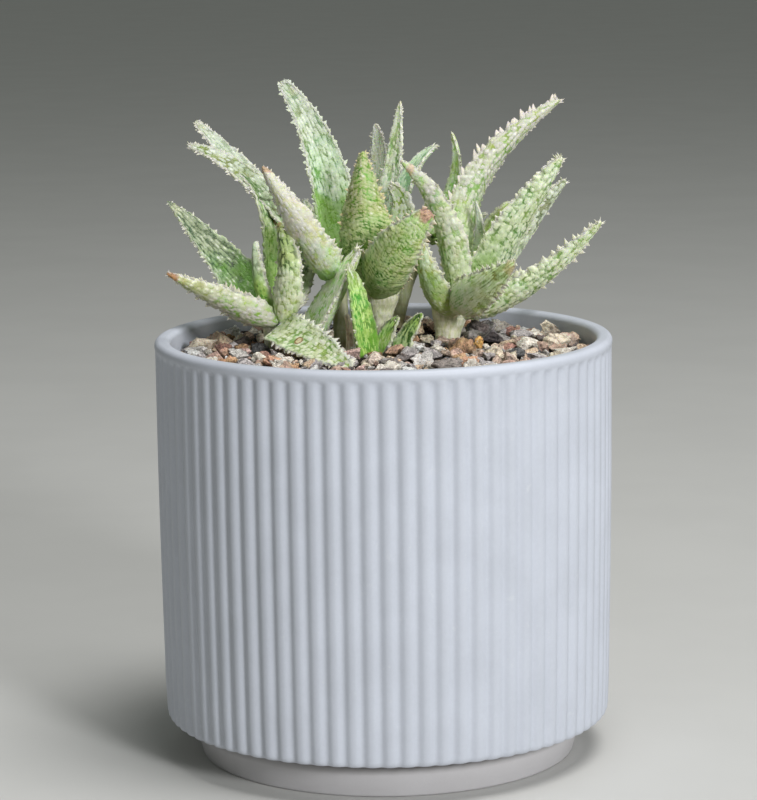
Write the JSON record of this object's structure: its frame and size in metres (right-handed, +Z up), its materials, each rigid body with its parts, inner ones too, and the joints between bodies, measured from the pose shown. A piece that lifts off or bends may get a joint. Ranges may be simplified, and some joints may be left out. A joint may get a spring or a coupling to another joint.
{
  "type": "potted aloe",
  "caption": "Clump of spotted, toothed dwarf aloe rosettes growing in gritty soil in a round fluted ceramic planter with a plain rim and a recessed foot.",
  "frame": {"origin": "middle of the pot's foot, on the surface it stands on", "axes": "+Z up the pot, -Y towards the side seen in the picture, +X to that view's right"},
  "size_m": [0.127, 0.127, 0.185],
  "materials": {
    "pot": "matte, pale cool grey",
    "soil": "rough, gritty",
    "stem": "satin, fibrous, pale olive",
    "leaf": "satin, green with raised pale cream tubercles",
    "pup_leaf": "satin, bright green with pale streaks",
    "dry_leaf": "dry, papery, reddish brown",
    "grey_rock": "rough, grey",
    "red_rock": "rough, porous, reddish",
    "dark_rock": "rough, porous, nearly black",
    "amber_rock": "smooth, amber",
    "pale_rock": "rough, cream",
    "bark": "rough, orange brown"
  },
  "bodies": {
    "root": {"pot": "pot", "soil": "soil", "left_stem": "stem", "rear_left_stem": "stem", "centre_stem": "stem", "rear_centre_stem": "stem", "right_stem": "stem", "left_leaf_broad": "leaf", "left_leaf_low": "leaf", "left_leaf_curved": "leaf", "left_leaf_inner": "leaf", "left_leaf_tall": "leaf", "left_leaf_front": "leaf", "left_leaf_rear": "leaf", "left_leaf_behind": "leaf", "rear_left_leaf_big": "leaf", "rear_left_leaf_tall": "leaf", "rear_left_leaf_lower": "leaf", "rear_left_leaf_upper": "leaf", "rear_left_leaf_rear": "leaf", "rear_left_leaf_behind": "leaf", "centre_leaf_front": "leaf", "centre_leaf_wide": "leaf", "centre_leaf_cream": "leaf", "centre_leaf_slim": "leaf", "centre_leaf_blunt": "leaf", "centre_leaf_blue": "leaf", "right_leaf_long": "leaf", "rear_centre_leaf_small": "leaf", "rear_centre_leaf_rear": "leaf", "rear_centre_leaf_low": "leaf", "right_leaf_left": "leaf", "right_leaf_front": "leaf", "right_leaf_small": "leaf", "right_leaf_low": "leaf", "right_leaf_young": "leaf", "right_leaf_bumpy": "leaf", "right_leaf_under": "leaf", "right_leaf_olive": "leaf", "right_leaf_rear": "leaf", "right_leaf_behind": "leaf", "pup_leaf_upright": "pup_leaf", "pup_leaf_folded": "pup_leaf", "pup_leaf_toothed": "pup_leaf", "pup_leaf_small": "pup_leaf", "dry_bract": "dry_leaf", "front_stone": "grey_rock", "grey_stone": "grey_rock", "red_stone": "red_rock", "dark_stone": "dark_rock", "black_stone": "dark_rock", "amber_stone": "amber_rock", "pale_stone": "pale_rock", "cream_stone": "pale_rock", "orange_chip": "bark"}
  },
  "joints": []
}
